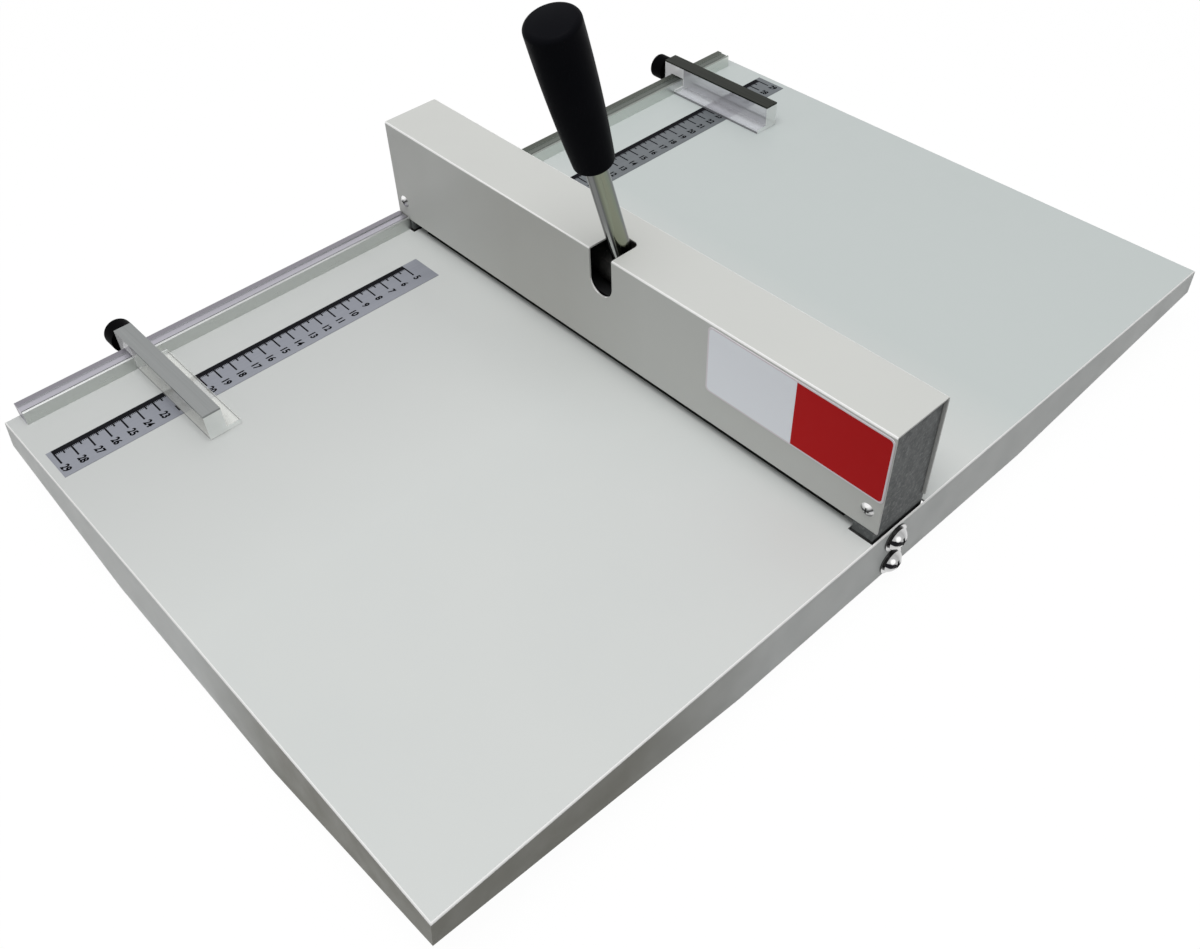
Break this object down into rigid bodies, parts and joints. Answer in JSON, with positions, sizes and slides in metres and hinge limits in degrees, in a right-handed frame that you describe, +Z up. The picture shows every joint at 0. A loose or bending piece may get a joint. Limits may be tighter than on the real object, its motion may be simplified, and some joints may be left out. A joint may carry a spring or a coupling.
{
  "type": "desktop paper creasing machine",
  "caption": "Wide sheet-metal table with a covered cross bar whose lever presses a creasing blade into a grooved strip, with ruled rails and sliding side guides.",
  "frame": {"origin": "middle of the bounding box, on the surface that the rubber feet stand on", "axes": "+X along the creasing bar away from the guide rails, +Y the way the paper goes through, away from the operator, +Z up"},
  "size_m": [0.4259, 0.6074, 0.2593],
  "materials": {
    "white_sheet": "fine textured powder coat",
    "dark_steel": "dark, roughly ground",
    "bright_steel": "ground",
    "bronze": "sintered, oiled",
    "chrome": "polished",
    "zinc_steel": "bright zinc plate",
    "black_grip": "moulded, half gloss",
    "black_knob": "moulded, fine grain",
    "rubber": "matte",
    "aluminium": "extruded, satin",
    "ruler_plate": "matt anodised with printed scale",
    "clear_acrylic": "clear, polished",
    "label": "two-tone film, bare"
  },
  "bodies": {
    "chassis": {"table_tray": "white_sheet", "cover": "white_sheet", "front_foot_channel": "white_sheet", "rear_foot_channel": "white_sheet", "rubber_feet": "rubber", "foot_washers": "zinc_steel", "foot_screws": "zinc_steel", "foot_nuts": "zinc_steel", "open_side_end_block": "dark_steel", "rail_side_end_block": "dark_steel", "open_side_bush": "bronze", "rail_side_bush": "bronze", "lower_beam": "dark_steel", "crease_matrix": "bright_steel", "guide_pins": "bright_steel", "open_side_spring": "bright_steel", "rail_side_spring": "bright_steel", "side_bolts": "chrome", "side_washers": "chrome", "side_lock_washers": "chrome", "cover_screws": "zinc_steel", "label_plate": "label", "front_rail": "aluminium", "rear_rail": "aluminium", "rail_screws": "zinc_steel", "front_ruler": "ruler_plate", "rear_ruler": "ruler_plate"},
    "lever": {"camshaft": "bright_steel", "lever_rod": "chrome", "rod_lock_pin": "bright_steel", "lever_grip": "black_grip"},
    "blade_beam": {"upper_beam": "dark_steel", "creasing_blade": "bright_steel", "blade_screws": "dark_steel"},
    "front_guide": {"front_guide_body": "clear_acrylic", "front_guide_strip": "aluminium"},
    "front_clamp": {"front_guide_knob": "black_knob", "front_thumb_screw": "zinc_steel"},
    "rear_guide": {"rear_guide_body": "clear_acrylic", "rear_guide_strip": "aluminium"},
    "rear_clamp": {"rear_guide_knob": "black_knob", "rear_thumb_screw": "zinc_steel"}
  },
  "joints": [
    {"name": "lever_swing", "type": "hinge", "parent": "chassis", "child": "lever", "pos_m": [0.00715, 0, 0.0951], "axis": [1, 0, 0], "range_deg": [0, 70]},
    {"name": "blade_press", "type": "slide", "parent": "chassis", "child": "blade_beam", "axis": [0, 0, -1], "range_m": [0, 0.0048], "stiffness_N_per_m": 10600, "springref_m": -0.004, "deforming": ["open_side_spring", "rail_side_spring"]},
    {"name": "front_guide_slide", "type": "slide", "parent": "chassis", "child": "front_guide", "axis": [0, 1, 0], "range_m": [-0.068, 0.178]},
    {"name": "front_clamp_turn", "type": "hinge", "parent": "front_guide", "child": "front_clamp", "pos_m": [-0.19945, -0.2172, 0.0487], "axis": [-1, 0, 0], "range_deg": [0, 360]},
    {"name": "rear_guide_slide", "type": "slide", "parent": "chassis", "child": "rear_guide", "axis": [0, 1, 0], "range_m": [-0.205, 0.04]},
    {"name": "rear_clamp_turn", "type": "hinge", "parent": "rear_guide", "child": "rear_clamp", "pos_m": [-0.19945, 0.2446, 0.0487], "axis": [-1, 0, 0], "range_deg": [0, 360]}
  ],
  "couplings": [
    {"joint": "blade_press", "follows": "lever_swing", "m_per_rad": 0.003928}
  ]
}
